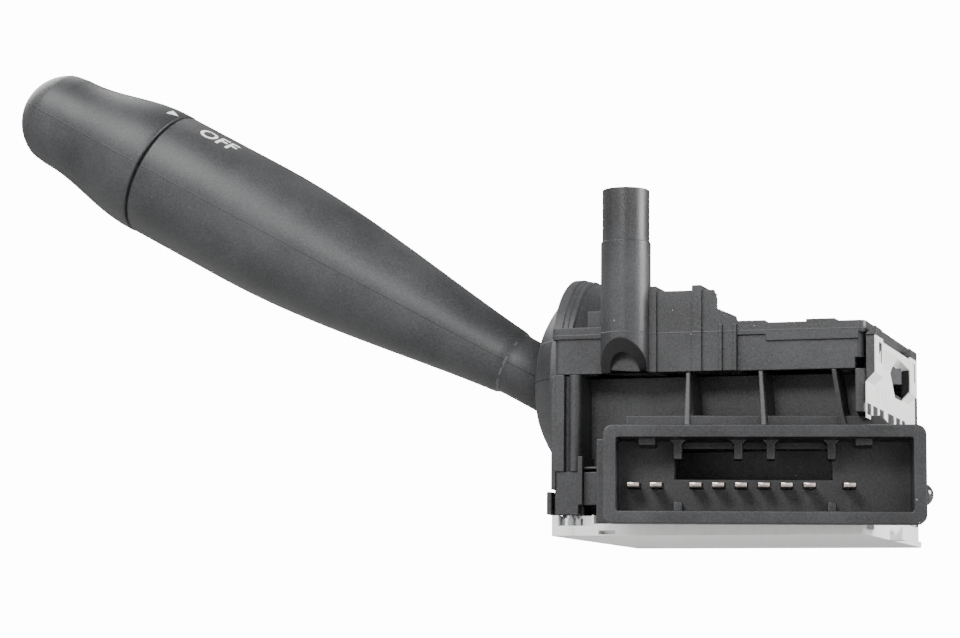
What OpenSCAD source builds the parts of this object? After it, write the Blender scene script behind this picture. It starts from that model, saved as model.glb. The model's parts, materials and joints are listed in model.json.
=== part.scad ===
// Combination stalk switch: a casing with a side connector, and a lever with a rotary knob.
// +Z points along the steering column towards the driver, -X along the lever,
// -Y to the side that the connector faces. The origin is on the flat underside
// of the base tray, on the axis about which the lever turns.

/* [Casing] */
// Width of the casing, left to right
case_w = 66; // [62:1:72]
// Depth of the casing, front to back
case_d = 68; // [64:1:76]
// From the turn axis to the casing's left face
pivot_left = 18; // [17:0.5:19]
// From the turn axis to the casing's front face
pivot_front = 28; // [27:0.5:30]
// Height of the plane where housing and cover meet
parting_z = 33.5; // [33:0.5:35]
// Height of the cover above that plane
cover_h = 9.8; // [9.6:0.1:11]
// Wall thickness of housing and cover
wall = 2; // [1.8:0.1:2.2]
// Depth of the recess in the housing's front
recess_d = 9; // [8:0.5:9.5]
// Width of the solid column left of the recess
left_column_w = 6.4; // [6:0.1:7]
// Width of the column right of the recess
right_column_w = 2.2; // [2:0.1:2.6]
// Radius of the round pillar beside the recess
pillar_r = 1.4; // [1.2:0.1:1.5]
// Corner radius of the casing seen from above
case_corner_r = 1.5; // [1:0.1:2]

/* [Collar] */
// Outer radius of the round collar where the lever leaves the casing
collar_r = 30; // [29.5:0.1:30.5]
// Wall thickness of the collar
collar_wall = 2; // [1.8:0.1:2.2]
// Radius of the mouth in the collar
mouth_r = 13.2; // [13:0.1:13.4]
// Height of the mouth's centre above the parting plane
mouth_rise = 2.1; // [1.9:0.1:2.3]
// Depth of the groove between the two rims
groove_d = 1; // [0.8:0.1:1.2]
// How far the inner rim lies inside the outer one
rim_step = 0.5; // [0.3:0.1:0.7]
// Width of each rim
rim_w = 1.6; // [1.4:0.1:1.7]
// Width of the groove
groove_w = 0.8; // [0.6:0.1:1]
// Radius of the opening behind the rims
throat_r = 18.8; // [18.6:0.1:19]
// Outer radius of the hood behind the rims, at its back end
hood_r = 20.6; // [20.6:0.1:21]
// Length of the hood
hood_len = 8.6; // [8:0.1:9]

/* [Cover] */
// Height of the band round the cover's top edge
band_h = 2.5; // [2.2:0.1:3]
// Depth by which the faces under the band are set back
band_step = 0.5; // [0.3:0.1:0.8]
// Outer radius of the shroud post, lower part
post_r = 5.2; // [5:0.1:5.4]
// Outer radius of the shroud post, upper part
post_top_r = 4.9; // [4.7:0.1:5]
// Radius of the hole through the post
post_bore_r = 3.3; // [3:0.1:3.4]
// Height of the post above the cover's top
post_h = 28.5; // [24:0.5:32]
// Height of the post's step above the cover's top
post_step_h = 17.5; // [12:0.5:20]
// From the turn axis to the post's axis, leftwards
post_left = 1.9; // [1.5:0.1:2.3]
// Width of the raised block beside the post
block_w = 13.7; // [13:0.1:14.5]
// Height of the raised block above the cover's top
block_h = 8.1; // [7:0.1:9]
// Depth of the raised block, front to back
block_d = 14; // [12:0.5:18]
// Width of the ramp at the block's right side
ramp_w = 4.6; // [4:0.1:5.2]
// Height of the ramp at the block's side
ramp_h = 3.4; // [3:0.1:4]
// Radius of the boss that holds the carrier's upper pin
boss_r = 8; // [7:0.1:9]
// Height of that boss above the cover's top
boss_h = 3; // [2.8:0.1:4]

/* [Base] */
// Height of the base tray
tray_h = 4.3; // [4:0.1:4.6]
// Thickness of the tray's bottom
tray_floor = 1.3; // [1:0.1:1.6]
// Thickness of the tray's rim
tray_wall = 1.8; // [1.4:0.1:2]
// By how much the tray sticks out behind the casing
tray_back = 4; // [0:0.5:6]
// Width of the rim segment that shows in the front left corner
tab_w = 7.6; // [7:0.1:8.5]

/* [Connector] */
// Width of the connector's lip
lip_w = 64; // [63:0.5:65]
// Height of the connector's lip
lip_h = 19.8; // [19.5:0.1:20.4]
// Depth of the lip, front to back
lip_d = 3.4; // [2.5:0.1:4]
// Wall of the connector at the lip
lip_wall = 2.6; // [2.2:0.1:2.8]
// By how much the lip stands out from the wall behind it
lip_step = 0.8; // [0.5:0.1:1]
// Depth of the socket
socket_d = 11.5; // [10.5:0.1:11.6]
// Thickness of the socket's back wall
socket_back = 1.8; // [1.5:0.1:1.8]
// Angle between the connector and the casing's front
connector_turn = 12; // [11:0.5:12.5]
// Height of the lip's lower edge
lip_z = 1.7; // [1.6:0.1:2]
// How far the lip's left end stands before the turn axis
lip_front = 46; // [45.5:0.5:47]
// From the turn axis to the lip's left end
lip_left = 1.8; // [1.5:0.1:2.2]
// Width of the window in the socket's back wall
window_w = 31.5; // [28:0.5:32]
// Height of the window in the socket's back wall
window_h = 7.6; // [6.5:0.1:7.8]
// Width of the socket's coding ribs
key_w = 1.8; // [1.4:0.1:2.2]
// Height of the socket's coding ribs
key_h = 4; // [3:0.1:4.4]

/* [Terminals] */
// Width of a terminal blade
blade_w = 2.3; // [2:0.1:2.8]
// Thickness of a terminal blade
blade_t = 0.8; // [0.6:0.05:1]
// Distance between neighbouring blades
blade_pitch = 4.55; // [4.2:0.05:4.8]
// Length of a blade inside the socket
blade_len = 7.8; // [6:0.1:9]
// Height of the blades' middle above the lip's lower edge
blade_rise = 8.1; // [7.5:0.1:8.6]

/* [Side rail] */
// Thickness of the side rail's plate
rail_t = 1.2; // [1:0.1:1.5]
// How far the rail's two hooks stand out from its plate
hook_d = 2; // [1.6:0.1:2.4]
// Width of a hook
hook_w = 7.5; // [7:0.1:8]
// Distance between the two hooks' middles
hook_pitch = 48.5; // [46:0.5:50]
// Height of a hook
hook_h = 14; // [12:0.5:15]

/* [Lever] */
// Angle of the lever above the casing's parting plane
lever_tilt = 28.4; // [27.5:0.1:29]
// Height at which the lever's axis crosses the turn axis
lever_foot_z = 20.4; // [20.2:0.1:20.8]
// From that crossing to the end of the sleeve
sleeve_end = 136; // [126:1:150]
// From that crossing to where the sleeve starts to widen
neck_end = 38; // [37:0.5:40]
// Radius of the lever's neck
neck_r = 7.25; // [7.1:0.05:7.3]
// Radius of the sleeve at the knob
grip_r = 14.7; // [13.5:0.1:16]
// Length over which the sleeve widens
taper_len = 74; // [65:1:80]
// Wall thickness of the sleeve
sleeve_wall = 2; // [1.8:0.1:2.4]
// Radius of the hub's tube inside the neck
tube_r = 5.2; // [5:0.1:5.3]
// Wall thickness of the dust cap
dust_wall = 1.6; // [1.4:0.1:1.8]

/* [Knob] */
// Length of the knob
knob_len = 39.2; // [35:0.2:44]
// Radius of the knob at its joint with the sleeve
knob_r = 14.85; // [13.7:0.05:16]
// Radius of the knob's waist
waist_r = 11.1; // [10.2:0.1:12]
// Length of the knob's domed end
dome_len = 7.8; // [7:0.1:9]
// Gap between the sleeve and the knob
knob_gap = 0.6; // [0.4:0.1:0.8]
// Wall thickness of the knob
knob_wall = 2.2; // [1.8:0.1:2.6]
// Radius of the shaft that the knob turns
shaft_r = 2.5; // [2.3:0.1:2.6]
// Radius at which the shaft's crank carries its finger
crank_r = 5; // [4.8:0.1:5.1]
// Radius of the crank's finger
finger_r = 1; // [0.9:0.05:1.1]

/* [Turn carrier] */
// Half the carrier's width, front to back
carrier_y = 12.3; // [12.3:0.1:12.8]
// Thickness of the carrier's cheeks
cheek_t = 3; // [2.8:0.05:3]
// Radius of the carrier's upper and lower pins
trunnion_r = 4; // [3.6:0.1:4.4]
// Radius of the pin that the lever dips about
dip_pin_r = 2; // [1.8:0.1:2.2]
// Radius of the detent plunger
plunger_r = 2.5; // [2.2:0.1:2.7]
// Distance from the turn axis to the plunger's tip
plunger_reach = 24; // [23.5:0.1:24.5]

/* [Cancel pawl] */
// From the turn axis to the pawl's pivot, rightwards
pawl_x = 38; // [37.5:0.1:38.5]
// From the turn axis to the pawl's pivot, backwards
pawl_y = 8; // [7:0.5:9]
// Radius of the pin that the pawl turns on
pawl_pin_r = 2; // [1.8:0.1:2.2]
// Thickness of the pawl
pawl_t = 3.4; // [3:0.1:3.6]
// Length of the pawl's nose
pawl_len = 11.4; // [10.5:0.1:11.6]

/* [Hidden] */

$fn = 64;
// Overrun of every cut past the face that it opens
over = 1;
// Radial clearance of a turning fit
run = 0.05;
// Gap between neighbouring pieces that don't turn in each other
gap = 0.3;
// Clearance of pieces that sit in each other and don't move
seat = 0.02;

dark = [0.17, 0.17, 0.18];
white = [0.88, 0.88, 0.86];
brass = [0.80, 0.65, 0.35];
steel = [0.72, 0.73, 0.75];

left_x = -pivot_left;
right_x = left_x + case_w;
front_y = -pivot_front;
back_y = front_y + case_d;
top_z = parting_z + cover_h;
recess_y = front_y + recess_d;
recess_x = left_x + left_column_w;
floor_z = tray_h + wall;
roof_z = top_z - wall;
post_x = -post_left;
lip_top = lip_z + lip_h;

// A box from one corner to the opposite one
module block(low, high) {
    translate(low) cube(high - low);
}

// A box with upright edges rounded by r
module rounded_block(low, high, r) {
    size = high - low;
    translate([low[0], low[1], low[2]]) linear_extrude(size[2]) {
        translate([r, 0]) square([size[0] - 2 * r, size[1]]);
        translate([0, r]) square([size[0], size[1] - 2 * r]);
        for (x = [r, size[0] - r], y = [r, size[1] - r]) translate([x, y]) circle(r);
    }
}

// A round bar along +X that starts at a point
module bar_x(p, r, len) {
    translate(p) rotate([0, 90, 0]) cylinder(h = len, r = r);
}

// A round bar along +Y that starts at a point
module bar_y(p, r, len) {
    translate(p) rotate([-90, 0, 0]) cylinder(h = len, r = r);
}

// A plate whose outline is drawn in X and Z, from y0 to y1
module plate_xz(points, y0, y1) {
    translate([0, y1, 0]) rotate([90, 0, 0]) linear_extrude(y1 - y0) polygon(points);
}

// A round wire wound along +Z: r is the wire's distance from the axis
wire_sides = 8;
turn_steps = 14;
function coil_point(r, wire, rise, turns, i, k) =
    let (a = 360 * i / turn_steps, b = 360 * k / wire_sides, q = r + wire * cos(b))
    [q * cos(a), q * sin(a), wire + (rise - 2 * wire) * i / (turns * turn_steps) + wire * sin(b)];
module coil(r, wire, rise, turns) {
    rings = turns * turn_steps;
    points = [for (i = [0:rings], k = [0:wire_sides - 1])
        coil_point(r, wire, rise, turns, i, k)];
    sides = [for (i = [0:rings - 1], k = [0:wire_sides - 1])
        let (a = i * wire_sides + k, b = i * wire_sides + (k + 1) % wire_sides)
        [a, b, b + wire_sides, a + wire_sides]];
    start = [for (k = [wire_sides - 1:-1:0]) k];
    finish = [for (k = [0:wire_sides - 1]) rings * wire_sides + k];
    polyhedron(points, concat([start], [for (f = sides) [f[3], f[2], f[1], f[0]]], [finish]),
        convexity = 6);
}

// Places a child in the lever's frame: +Z runs out along the lever, +X up across it
module along_lever() {
    translate([0, 0, lever_foot_z]) rotate([0, lever_tilt - 90, 0]) children();
}

// Places a child in the connector's frame: +X along the lip, +Y into the casing
module in_connector() {
    translate([-lip_left, -lip_front, lip_z]) rotate([0, 0, connector_turn]) children();
}

// Collar: a ball round the crossing of the turn and dip axes, with two rims and a hood.
// Its local +Z runs out of the casing, along -X
rim_inset = 11.6;
rim_start = collar_r - rim_inset;
rim_out = 0.1;
rim_r = sqrt(collar_r * collar_r - rim_start * rim_start) - rim_out;
groove_r = rim_r - groove_d;
inner_rim_r = rim_r - rim_step;
hood_start = rim_start - hood_len;
module in_collar() {
    translate([0, 0, parting_z]) rotate([0, -90, 0]) children();
}

module collar_outside() {
    in_collar() {
        intersection() {
            sphere(r = collar_r, $fn = 96);
            translate([0, 0, rim_start]) cylinder(h = collar_r, r = collar_r);
        }
        translate([0, 0, rim_start + groove_w / 2]) cylinder(h = rim_w, r = rim_r);
        translate([0, 0, rim_start - groove_w / 2 - rim_w]) {
            cylinder(h = rim_w + groove_w, r = groove_r);
            cylinder(h = rim_w, r = inner_rim_r);
        }
        translate([0, 0, hood_start]) cylinder(h = hood_len - rim_w, r1 = hood_r, r2 = inner_rim_r - gap);
    }
}

collar_hollow_r = collar_r - collar_wall;
hollow_start = rim_start - groove_w;
module collar_inside() {
    in_collar() {
        intersection() {
            sphere(r = collar_hollow_r, $fn = 96);
            translate([0, 0, hollow_start]) cylinder(h = collar_r, r = collar_r);
        }
        translate([0, 0, hood_start + wall])
            cylinder(h = hollow_start + over - hood_start - wall, r = throat_r);
    }
    bar_x([-collar_r - over, 0, parting_z + mouth_rise], mouth_r, collar_r);
}

// Main housing
boss_floor_z = floor_z + wall;
rail_cut_y = 23;
rail_cut_z = 4.8;
track_x = 24.3;
block_low_d = 6.6;
block_low_h = 9;
screw_r = 1.5;
screw_head_r = 2.2;
screw_head_h = 1.6;
screw_in = 5;
tab_screw = [3.7, 3];
base_screw_at = [[left_x + tab_screw[0], front_y + tab_screw[1]], [left_x + screw_in, back_y - screw_in],
    [right_x - screw_in, back_y - screw_in]];
cover_screw_at = [[left_x + screw_in, back_y - screw_in], [right_x - screw_in, back_y - screw_in],
    [right_x - screw_in, recess_y + screw_in]];
screw_boss_r = 3.6;
base_screw_len = 9;
cover_screw_len = 17;

module screw_bosses(z0, z1) {
    for (p = cover_screw_at) translate([p[0], p[1], z0]) cylinder(h = z1 - z0, r = screw_boss_r);
}

// The parts of the foot stand in the recess, so they are added after the cuts
module main_housing() {
    color(dark) {
        housing_body();
        foot_details();
    }
}

module housing_body() {
    difference() {
        union() {
            difference() {
                rounded_block([left_x, front_y, tray_h], [right_x, back_y, parting_z], case_corner_r);
                block([left_x + wall, recess_y + wall, floor_z],
                    [right_x - wall, back_y - wall, parting_z + over]);
            }
            intersection() {
                collar_outside();
                block([-collar_r - over, -collar_r, tray_h], [left_x + wall, collar_r, parting_z]);
            }
            translate([0, 0, tray_h]) cylinder(h = boss_floor_z - tray_h, r = boss_r);
            screw_bosses(tray_h, parting_z);
            translate([base_screw_at[0][0], base_screw_at[0][1], tray_h])
                cylinder(h = base_screw_len, r = screw_boss_r);
        }
        housing_cuts();
    }
}

// The left column's foot, with an upright rib beside it and a lug on its left
groove_w2 = 0.65;
groove_at = recess_x - 2 * pillar_r - groove_w2;
foot_in = 0.8;
foot_back = 0.5;
foot_ramp = 2.4;
foot_rib = [1.1, 3.2];
foot_hollow = [3, 2.1];
foot_lug = [1.3, 4.6];
notch_d = 1.2;
module foot_details() {
    block([recess_x - foot_rib[0] / 2, front_y + foot_back - notch_d / 2, tray_h + foot_hollow[1]],
        [recess_x + foot_rib[0] / 2, recess_y + wall, tray_h + block_low_h + foot_rib[1]]);
    block([recess_x, front_y + notch_d, tray_h + block_low_h + foot_back],
        [recess_x + block_low_d, recess_y + wall, tray_h + block_low_h + foot_rib[0]]);
    block([left_x - foot_back, front_y + foot_rib[0], tray_h], [left_x + wall, front_y + block_low_d,
        tray_h + foot_lug[1]]);
}

// The recess, the openings and the bores of the housing
module housing_cuts() {
    foot_z = tray_h + block_low_h;
    collar_inside();
    // The recess ends beside the left column and under the connector
    difference() {
        block([recess_x, front_y - over, tray_h - over], [right_x - right_column_w, recess_y,
            parting_z + over]);
        block([recess_x - over, front_y + notch_d, tray_h + foot_hollow[1]],
            [recess_x + block_low_d, recess_y + over, foot_z]);
    }
    block([recess_x + block_low_d, front_y - over, tray_h - over], [right_x + over, recess_y,
        lip_top + wall]);
    // Groove and half-round pillar in the left column
    difference() {
        block([groove_at, front_y - over, foot_z], [recess_x + over, front_y + pillar_r,
            parting_z + over]);
        translate([recess_x - pillar_r, front_y + pillar_r, foot_z - over])
            cylinder(h = parting_z - foot_z + 3 * over, r = pillar_r);
    }
    // The foot is set back under a slant
    plate_xz([[left_x - over, tray_h - over], [left_x + foot_in, tray_h - over], [left_x + foot_in,
        foot_z],
        [left_x, foot_z + foot_ramp], [left_x - over, foot_z + foot_ramp]], front_y - over,
            back_y + over);
    block([left_x - over, front_y - over, tray_h - over], [recess_x + over, front_y + foot_back, foot_z]);
    block([recess_x - foot_back, front_y - over, tray_h - over],
        [recess_x + block_low_d, front_y + foot_hollow[0], tray_h + foot_hollow[1]]);
    translate([0, 0, tray_h - over]) cylinder(h = boss_floor_z, r = trunnion_r + run);
    // Opening for the cancel pawl
    block([right_x - wall - over, pawl_y - rail_cut_y / 2, parting_z - wall],
        [right_x + over, pawl_y + rail_cut_y / 2, parting_z + over]);
    for (p = base_screw_at) translate([p[0], p[1], tray_h - over])
        cylinder(h = base_screw_len, r = screw_r + seat);
    for (p = cover_screw_at) translate([p[0], p[1], top_z - screw_head_h - cover_screw_len])
        cylinder(h = cover_screw_len, r = screw_r + seat);
}

// Top cover
block_x0 = post_x + post_r;
block_x1 = block_x0 + block_w;
block_top = top_z + block_h;
cover_split = 1.4;
rib_w = 2.1;
rib_low_w = 0.8;
rib_out = 0.6;
pad_h = 0.5;
pad_at = [[21.2, 28.2], [35.8, 42.6]];
pad_slope = 0.9;
right_band = [27.4, 3.8];
second_rib = 4.8;
top_tab = [[-11, -25, 0], [-5, -22, 3.7]];
arch_h = 6.9;
bore_top = top_z + boss_h - wall / 2;
front_wall_d = recess_d + wall;

module cover_body() {
    difference() {
        union() {
            rounded_block([left_x + band_step, front_y + band_step, parting_z],
                [right_x - band_step, back_y - band_step, top_z], case_corner_r);
            rounded_block([left_x, front_y, top_z - band_h], [right_x, back_y, top_z], case_corner_r);
        }
        block([left_x + wall, front_y + wall, parting_z - over], [right_x - wall, back_y - wall, roof_z]);
    }
}

// Low pads on the top, the deeper band at the right and a tab behind the post
module cover_pads() {
    for (p = pad_at)
        plate_xz([[p[0], roof_z], [p[0], top_z + pad_h], [p[1] - pad_slope, top_z + pad_h], [p[1], top_z],
            [p[1], roof_z]], front_y, front_y + block_d / 2);
    block([right_band[0], front_y, top_z - right_band[1]], [right_x - case_corner_r, front_y + wall,
        top_z]);
    translate([0, 0, top_z]) block(top_tab[0] - [0, 0, wall / 2], top_tab[1]);
}

// The raised block, its ribs and its ramp
module cover_block() {
    y1 = front_y + block_d;
    block([block_x0 - post_r, front_y, parting_z], [block_x1, y1, block_top - wall / 2]);
    for (x = [block_x0 - rib_out, block_x1 - second_rib])
        block([x, front_y - rib_out, parting_z], [x + rib_w, y1, block_top]);
    plate_xz([[block_x1, parting_z], [block_x1, top_z + ramp_h], [block_x1 + ramp_w, top_z + cover_split],
        [block_x1 + ramp_w, parting_z]], front_y, y1);
    for (x = [block_x1 + rib_low_w, block_x1 + ramp_w - rib_low_w])
        block([x, front_y - rib_out, parting_z], [x + rib_low_w, y1, top_z]);
}

// The post's foot ends in an arch that faces the front and slants inwards
arch_top = parting_z + arch_h;
module post_foot_cut() {
    translate([post_x - post_r - over, 0, 0]) rotate([90, 0, 90])
        linear_extrude(2 * post_r + over - gap)
            polygon([[front_y - post_r - over, parting_z - over], [front_y, parting_z - over],
                [front_y, parting_z], [front_y - post_r, arch_top], [front_y - post_r - over, arch_top]]);
}

// Below the cover's top the bore is cut off by the cover's flat front wall
module post_foot_bore() {
    intersection() {
        translate([post_x, front_y, parting_z - over])
            cylinder(h = cover_h + 2 * over, r = post_bore_r - gap);
        block([post_x - post_r, front_y - post_r, parting_z - over],
            [post_x + post_r, front_y - band_step / 2, top_z + over]);
    }
}

module top_cover() {
    color(dark) difference() {
        union() {
            difference() {
                union() {
                    cover_body();
                    cover_block();
                    translate([post_x, front_y, parting_z])
                        cylinder(h = top_z + post_step_h - parting_z, r = post_r);
                    translate([post_x, front_y, top_z]) cylinder(h = post_h, r = post_top_r);
                    translate([0, 0, roof_z - wall])
                        cylinder(h = top_z + boss_h - roof_z + wall, r = boss_r);
                    cover_pads();
                }
                post_foot_cut();
                translate([post_x, front_y, top_z]) cylinder(h = post_h + over, r = post_bore_r);
                post_foot_bore();
                // The block is hollow from below
                block([block_x0 + wall, front_y + wall, parting_z - over],
                    [block_x1 - wall, front_y + block_d - wall, block_top - 2 * wall]);
            }
            intersection() {
                collar_outside();
                block([-collar_r - over, -collar_r, parting_z], [over, collar_r, parting_z + collar_r]);
            }
            screw_bosses(parting_z, roof_z + wall / 2);
            // The pin that the cancel pawl turns on, under its shoulder
            translate([pawl_x, pawl_y, pawl_z + pawl_t + gap])
                cylinder(h = roof_z - pawl_z - pawl_t, r = pawl_shoulder_r);
            translate([pawl_x, pawl_y, pawl_z - gap]) cylinder(h = roof_z - pawl_z, r = pawl_pin_r);
        }
        cover_cuts();
    }
}

lug_w = 2.2;
module cover_cuts() {
    intersection() {
        collar_inside();
        block([-collar_r - over, -collar_r, parting_z - over], [-hood_start + over, collar_r,
            parting_z + collar_r]);
    }
    block([left_x - over, -throat_r + over, parting_z - over], [-hood_start + over, throat_r - over,
        roof_z]);
    translate([0, 0, parting_z]) cylinder(h = bore_top - parting_z, r = trunnion_r + run);
    block([right_x - wall - over, pawl_y - rail_cut_y / 2, parting_z - over],
        [right_x + over, pawl_y + rail_cut_y / 2, parting_z + rail_cut_z]);
    block([right_x - lug_w, front_y - over, parting_z - over], [right_x + over, recess_y,
        parting_z + lug_w]);
    for (p = cover_screw_at) {
        translate([p[0], p[1], parting_z - over]) cylinder(h = cover_h + 2 * over, r = screw_r + seat);
        translate([p[0], p[1], top_z - screw_head_h])
            cylinder(h = screw_head_h + over, r = screw_head_r + gap);
    }
}

// Base tray
tray_hook_w = 5;
tray_hook_d = 2.6;
tray_slot = [3.6, 1];
tray_slot_at = [4, 0.3];
seat_drop = 0.6;
screw_seat_z = tray_h - seat_drop;
tab_notch = [1.9, 5.2];
module base_tray() {
    color(white) difference() {
        union() {
            rounded_block([left_x, front_y, 0], [right_x, back_y + tray_back, tray_floor], case_corner_r);
            difference() {
                rounded_block([left_x, front_y, 0], [right_x, back_y, tray_h], case_corner_r);
                block([left_x + tray_wall, front_y + tab_w, tray_floor], [right_x - tray_wall,
                    back_y - tray_wall, tray_h + over]);
                block([left_x + tab_w + tray_wall, front_y - over, tray_floor],
                    [right_x + over, front_y + tab_w + over, tray_h + over]);
            }
            for (p = base_screw_at) translate([p[0], p[1], 0]) cylinder(h = tray_h, r = screw_boss_r);
            plate_xz([[right_x, 0], [right_x + tray_hook_d, 0], [right_x + tray_hook_d, tray_h - rail_t],
                [right_x + tray_hook_d / 2, tray_floor], [right_x, tray_floor]], 0, tray_hook_w);
        }
        for (p = base_screw_at) {
            translate([p[0], p[1], 0]) cylinder(h = tray_h + over, r = screw_r + seat);
            translate([p[0], p[1], -over]) cylinder(h = screw_seat_z + over, r = screw_head_r + gap);
        }
        // The first screw shows through a notch in the front rim
        block([base_screw_at[0][0] - tab_notch[0], front_y - over, screw_seat_z - screw_head_h],
            [base_screw_at[0][0] + tab_notch[1], base_screw_at[0][1], tray_h + over]);
        block([recess_x + tray_slot_at[0], front_y - over, tray_slot_at[1]],
            [recess_x + tray_slot_at[0] + tray_slot[0], front_y + tray_slot[0],
                tray_slot_at[1] + tray_slot[1]]);
    }
}

// Screws: a pan head below, the shank upwards
module screw(len) {
    cylinder(h = screw_head_h, r = screw_head_r);
    translate([0, 0, screw_head_h]) cylinder(h = len, r = screw_r);
}

module base_screws() {
    color(steel) for (p = base_screw_at)
        translate([p[0], p[1], screw_seat_z - screw_head_h]) screw(base_screw_len - wall);
}

module cover_screws() {
    color(steel) for (p = cover_screw_at)
        translate([p[0], p[1], top_z]) rotate([180, 0, 0]) screw(cover_screw_len - over);
}

// Side rail: a plate with two hooks, a strip between them and a row of small windows
rail_in = [1, 6];
rail_y0 = front_y + rail_in[0];
rail_y1 = back_y - rail_in[1];
hook_in = 1.5;
hook_y0 = front_y + hook_in;
hook_rise = 0.2;
hook_top = top_z + hook_rise;
hook_chamfer = 1;
slit_drop = 3;
hex_drop = 1;
small_window_in = 2;
strip_h = 3.4;
hex_w = 22;
hex_h = 6.4;
slit = [2.6, 5];
small_window = [3.4, 2.6];
small_window_pitch = 7.6;
module hook(y) {
    low = hook_top - hook_h;
    translate([right_x + rail_t, y, 0]) rotate([90, 0, 90]) linear_extrude(hook_d)
        polygon([[0, low + hook_w / 2], [0, hook_top - hook_chamfer], [hook_chamfer, hook_top],
            [hook_w - hook_chamfer, hook_top],
            [hook_w, hook_top - hook_chamfer], [hook_w, low + hook_w / 2], [hook_w / 2, low],
                [hook_w / 4, low]]);
}

module side_rail() {
    hook_y1 = hook_y0 + hook_pitch;
    hex_z = top_z - strip_h - hex_drop;
    color(white) difference() {
        union() {
            block([right_x, rail_y0, lip_top + wall], [right_x + rail_t, recess_y, top_z]);
            block([right_x, recess_y, tray_h], [right_x + rail_t, rail_y1, top_z]);
            hook(hook_y0);
            hook(hook_y1);
            block([right_x, hook_y0, top_z - strip_h], [right_x + rail_t + hook_d / 2, hook_y1, top_z]);
        }
        // Six-sided opening before the cancel pawl
        translate([right_x - over, pawl_y, 0]) rotate([90, 0, 90])
            linear_extrude(hook_d + rail_t + 2 * over)
            polygon([[-hex_w / 2, hex_z], [hex_w / 2, hex_z], [hex_w / 2, hex_z - hex_h / 2],
                [hex_w / 4, hex_z - hex_h],
                [-hex_w / 4, hex_z - hex_h], [-hex_w / 2, hex_z - hex_h / 2]]);
        for (y = [hook_y0, hook_y1])
            block([right_x - over, y + hook_w / 2 - slit[0] / 2, hook_top - slit[1] - slit_drop],
                [right_x + rail_t + hook_d + over, y + hook_w / 2 + slit[0] / 2, hook_top - slit_drop]);
        for (i = [0:5])
            translate([right_x - over, recess_y + small_window_in + i * small_window_pitch,
                lip_top + wall])
                cube([rail_t + 2 * over, small_window[0], small_window[1]]);
    }
}

// Connector
key_share = [0.23, 0.42, 0.522, 0.711];
stop_share = [0.135, 0.81];
foot_share = [0.23, 0.711];
window_in = 0.4;
window_x = key_share[0] * lip_w - key_w / 2 + window_in;
socket_w = lip_w - 2 * lip_wall;
socket_h = lip_h - 2 * lip_wall;
flange_rise = 1.4;
flange_t = 1.6;
key_d = 5;
stop = [3.5, 1.4];
foot_h = 2.2;
gusset_w = 1.2;
gusset_share = [0.24, 0.46, 0.69];
gusset_end = 5;
gusset_top = 2;
flange_in = 4;
flange_share = 0.92;
side_flange = [0.5, 1.8];
box_in = 5;
box_share = 0.82;
box_back = 4;
peg_seat = 1.2;
corner_r = 2;

// An upright rounded rectangle in X and Z, drawn from its lower left corner
module lip_outline(x, z, w, h, r) {
    translate([x, z]) {
        translate([r, 0]) square([w - 2 * r, h]);
        translate([0, r]) square([w, h - 2 * r]);
        for (a = [r, w - r], b = [r, h - r]) translate([a, b]) circle(r);
    }
}
module lip_slab(x, z, w, h, r, y0, y1) {
    translate([0, y1, 0]) rotate([90, 0, 0]) linear_extrude(y1 - y0) lip_outline(x, z, w, h, r);
}

module connector_shell() {
    rear = socket_d + socket_back;
    deep = lip_front - pivot_front + recess_d;
    color(dark) difference() {
        in_connector() {
            difference() {
                union() {
                    lip_slab(0, 0, lip_w, lip_h, corner_r, 0, lip_d);
                    lip_slab(lip_step, lip_step, lip_w - 2 * lip_step, lip_h - 2 * lip_step,
                        corner_r, 0, rear);
                    // Flange behind the lip and the box that joins it to the casing
                    block([flange_in, rear - flange_t, wall], [flange_share * lip_w, rear,
                        lip_h + flange_rise]);
                    block([-wall, rear - flange_t, side_flange[0]], [side_flange[1], rear, lip_h - wall]);
                    block([box_in, rear - flange_t, tray_h], [box_share * lip_w, deep + box_back,
                        lip_h - wall]);
                    for (s = gusset_share) gusset(s * lip_w, rear, deep);
                }
                lip_slab(lip_wall, lip_wall, socket_w, socket_h, corner_r / 4, -over, socket_d);
                block([window_x, socket_d - over, lip_h - lip_wall - window_h],
                    [window_x + window_w, rear + over, lip_h - lip_wall]);
                block([window_x, rear, lip_h - lip_wall - window_h],
                    [window_x + window_w, deep + gusset_end, lip_h - 2 * wall]);
                for (x = blade_x) translate([x, 0, blade_rise])
                    block([-blade_w / 2 - seat, socket_d - over, -blade_t / 2 - seat],
                        [blade_w / 2 + seat, rear + blade_tail + seat, blade_t / 2 + seat]);
            }
            socket_ribs();
        }
        block([-2 * lip_w, recess_y, -over], [2 * lip_w, recess_y + lip_w, top_z]);
        in_connector() translate([lip_w - lip_step - peg_seat, peg_y, peg_z])
            bar_x([0, 0, 0], peg_root_r + seat, lip_wall);
    }
}

// The ribs and stops inside the socket
module socket_ribs() {
    top = lip_h - lip_wall;
    for (s = key_share) block([s * lip_w - key_w / 2, socket_d - key_d, top - key_h],
        [s * lip_w + key_w / 2, socket_d, top + seat]);
    for (s = key_share) plate_xz([[s * lip_w - key_w, top + seat], [s * lip_w - key_w / 2,
        top - key_w / 2],
        [s * lip_w + key_w / 2, top - key_w / 2], [s * lip_w + key_w, top + seat]], socket_d - key_d,
            socket_d);
    for (s = stop_share) block([s * lip_w - stop[0] / 2, lip_d, top - stop[1]],
        [s * lip_w + stop[0] / 2, socket_d, top + seat]);
    for (s = foot_share) block([s * lip_w - key_w / 2, socket_d - key_d, lip_wall - seat],
        [s * lip_w + key_w / 2, socket_d, lip_wall + foot_h]);
}

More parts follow.
